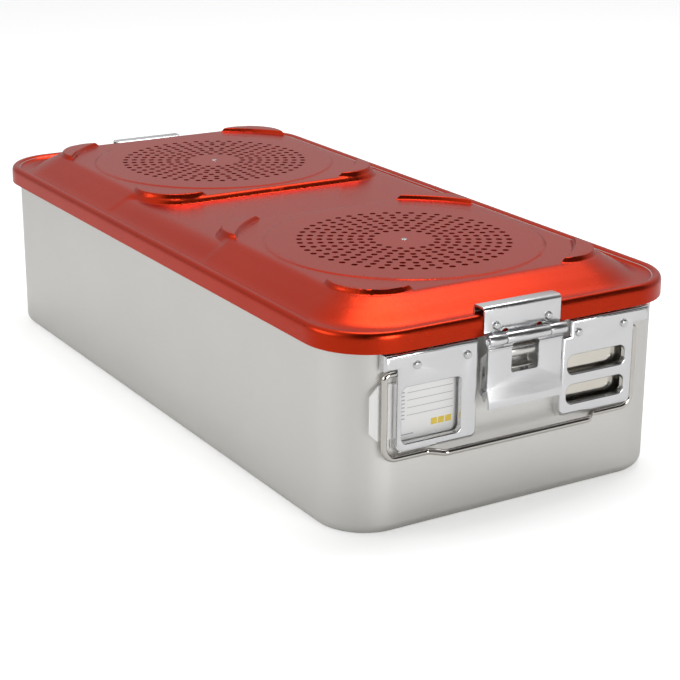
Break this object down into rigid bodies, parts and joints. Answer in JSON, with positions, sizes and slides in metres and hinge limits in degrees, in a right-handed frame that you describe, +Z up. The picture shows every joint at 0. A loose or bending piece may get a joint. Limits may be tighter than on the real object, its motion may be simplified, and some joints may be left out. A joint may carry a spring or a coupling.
{
  "type": "sterilization container",
  "caption": "Full-size rigid sterilization container: deep-drawn aluminium tub, red perforated lid with gasket and filters, two end latches and two wire carrying bails.",
  "frame": {"origin": "middle of the flat underside of the tub", "axes": "+X along the length towards the label card end, +Z up"},
  "size_m": [0.6108, 0.285, 0.1579],
  "materials": {
    "satin_tub": "satin anodised",
    "red_lid": "satin red anodised aluminium",
    "satin_sheet": "fine satin",
    "rivet_steel": "polished",
    "catch_steel": "brushed",
    "bright_steel": "mirror polished",
    "bright_wire": "polished",
    "silicone": "matt silicone",
    "filter_paper": "fibre paper",
    "retainer_aluminium": "satin",
    "hub_plastic": "moulded",
    "label_card": "printed card"
  },
  "bodies": {
    "base": {"tub": "satin_tub", "label_card_front": "label_card", "latch_catch_front": "catch_steel", "latch_catch_rear": "catch_steel", "catch_rivets_front": "rivet_steel", "catch_rivets_rear": "rivet_steel", "label_plate_front": "satin_sheet", "label_plate_rear": "satin_sheet", "slotted_plate_front": "satin_sheet", "slotted_plate_rear": "satin_sheet", "backing_sheet_front": "bright_steel", "backing_sheet_rear": "bright_steel", "plate_rivets_front": "rivet_steel", "plate_rivets_rear": "rivet_steel"},
    "lid": {"lid_shell": "red_lid", "lid_gasket": "silicone", "lid_clip_front": "satin_sheet", "lid_clip_rear": "satin_sheet", "clip_rivets_front": "rivet_steel", "clip_rivets_rear": "rivet_steel", "hinge_pin_front": "rivet_steel", "hinge_pin_rear": "rivet_steel", "filter_stud_front": "rivet_steel", "filter_stud_rear": "rivet_steel"},
    "latch_front": {"latch_flap_front": "satin_sheet", "latch_studs_front": "rivet_steel"},
    "bail_front": {"bail_front": "bright_wire"},
    "retainer_front": {"filter_retainer_front": "retainer_aluminium", "filter_disc_front": "filter_paper", "filter_seal_front": "silicone", "retainer_hub_front": "hub_plastic"},
    "latch_rear": {"latch_flap_rear": "satin_sheet", "latch_studs_rear": "rivet_steel"},
    "bail_rear": {"bail_rear": "bright_wire"},
    "retainer_rear": {"filter_retainer_rear": "retainer_aluminium", "filter_disc_rear": "filter_paper", "filter_seal_rear": "silicone", "retainer_hub_rear": "hub_plastic"}
  },
  "joints": [
    {"name": "lid_lift", "type": "slide", "parent": "base", "child": "lid", "axis": [0, 0, 1], "range_m": [0, 0.15]},
    {"name": "latch_front_swing", "type": "hinge", "parent": "lid", "child": "latch_front", "pos_m": [0.3013, -0.003, 0.1272], "axis": [0, -1, 0], "range_deg": [0, 120]},
    {"name": "bail_front_swing", "type": "hinge", "parent": "base", "child": "bail_front", "pos_m": [0.2926, -0.003, 0.1145], "axis": [0, -1, 0], "range_deg": [0, 90]},
    {"name": "retainer_front_drop", "type": "slide", "parent": "lid", "child": "retainer_front", "axis": [0, 0, -1], "range_m": [0, 0.04]},
    {"name": "latch_rear_swing", "type": "hinge", "parent": "lid", "child": "latch_rear", "pos_m": [-0.3013, 0.003, 0.1272], "axis": [0, 1, 0], "range_deg": [0, 120]},
    {"name": "bail_rear_swing", "type": "hinge", "parent": "base", "child": "bail_rear", "pos_m": [-0.2926, 0.003, 0.1145], "axis": [0, 1, 0], "range_deg": [0, 90]},
    {"name": "retainer_rear_drop", "type": "slide", "parent": "lid", "child": "retainer_rear", "axis": [0, 0, -1], "range_m": [0, 0.04]}
  ]
}
